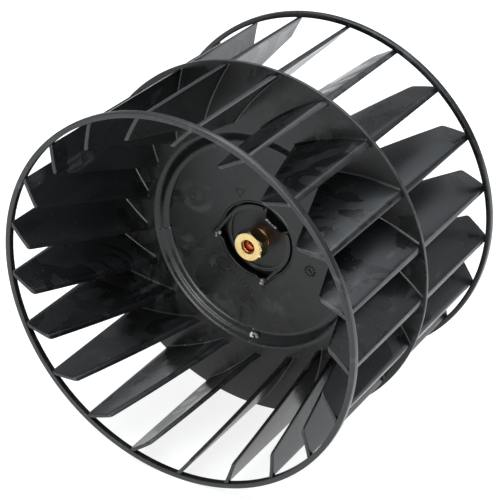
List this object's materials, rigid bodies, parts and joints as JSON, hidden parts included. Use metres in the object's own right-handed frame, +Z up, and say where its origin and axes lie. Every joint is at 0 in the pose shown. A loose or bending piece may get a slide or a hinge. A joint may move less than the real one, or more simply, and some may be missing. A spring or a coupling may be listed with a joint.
{
  "type": "blower wheel",
  "caption": "Double-inlet centrifugal blower wheel: curved blades between a dished centre disc and two thin end rings, with a clamp-nut hub for a motor shaft.",
  "frame": {"origin": "on the spin axis, in the plane of the centre disc's front face, half way between the two end rings", "axes": "+Y along the spin axis, from the clamp nut's side to the back; +Z up, with the wheel lying on the rims of its end rings; +X to the right seen from the front"},
  "size_m": [0.17, 0.131, 0.17],
  "materials": {
    "wheel_plastic": "black injection-moulded plastic, satin with light scuffs",
    "cup_plastic": "black injection-moulded plastic, satin",
    "copper": "turned, copper-coloured",
    "brass": "turned bright brass"
  },
  "bodies": {
    "wheel": {"centre_disc": "wheel_plastic", "front_ring": "wheel_plastic", "rear_ring": "wheel_plastic", "hub_cup": "cup_plastic", "shaft_bush": "copper", "front_blade_01": "wheel_plastic", "front_blade_02": "wheel_plastic", "front_blade_03": "wheel_plastic", "front_blade_04": "wheel_plastic", "front_blade_05": "wheel_plastic", "front_blade_06": "wheel_plastic", "front_blade_07": "wheel_plastic", "front_blade_08": "wheel_plastic", "front_blade_09": "wheel_plastic", "front_blade_10": "wheel_plastic", "front_blade_11": "wheel_plastic", "front_blade_12": "wheel_plastic", "front_blade_13": "wheel_plastic", "front_blade_14": "wheel_plastic", "front_blade_15": "wheel_plastic", "front_blade_16": "wheel_plastic", "front_blade_17": "wheel_plastic", "front_blade_18": "wheel_plastic", "front_blade_19": "wheel_plastic", "front_blade_20": "wheel_plastic", "front_blade_21": "wheel_plastic", "rear_blade_01": "wheel_plastic", "rear_blade_02": "wheel_plastic", "rear_blade_03": "wheel_plastic", "rear_blade_04": "wheel_plastic", "rear_blade_05": "wheel_plastic", "rear_blade_06": "wheel_plastic", "rear_blade_07": "wheel_plastic", "rear_blade_08": "wheel_plastic", "rear_blade_09": "wheel_plastic", "rear_blade_10": "wheel_plastic", "rear_blade_11": "wheel_plastic", "rear_blade_12": "wheel_plastic", "rear_blade_13": "wheel_plastic", "rear_blade_14": "wheel_plastic", "rear_blade_15": "wheel_plastic", "rear_blade_16": "wheel_plastic", "rear_blade_17": "wheel_plastic", "rear_blade_18": "wheel_plastic", "rear_blade_19": "wheel_plastic", "rear_blade_20": "wheel_plastic", "rear_blade_21": "wheel_plastic"},
    "collet": {"clamp_collet": "copper"},
    "nut": {"clamp_nut": "brass"}
  },
  "joints": [
    {"name": "collet_slide", "type": "slide", "parent": "wheel", "child": "collet", "axis": [0, -1, 0], "range_m": [0, 0.002]},
    {"name": "nut_turn", "type": "hinge", "parent": "collet", "child": "nut", "pos_m": [0, 0, 0], "axis": [0, -1, 0], "range_deg": [0, 720]}
  ],
  "couplings": [
    {"joint": "collet_slide", "follows": "nut_turn", "m_per_rad": 0.00015915}
  ]
}
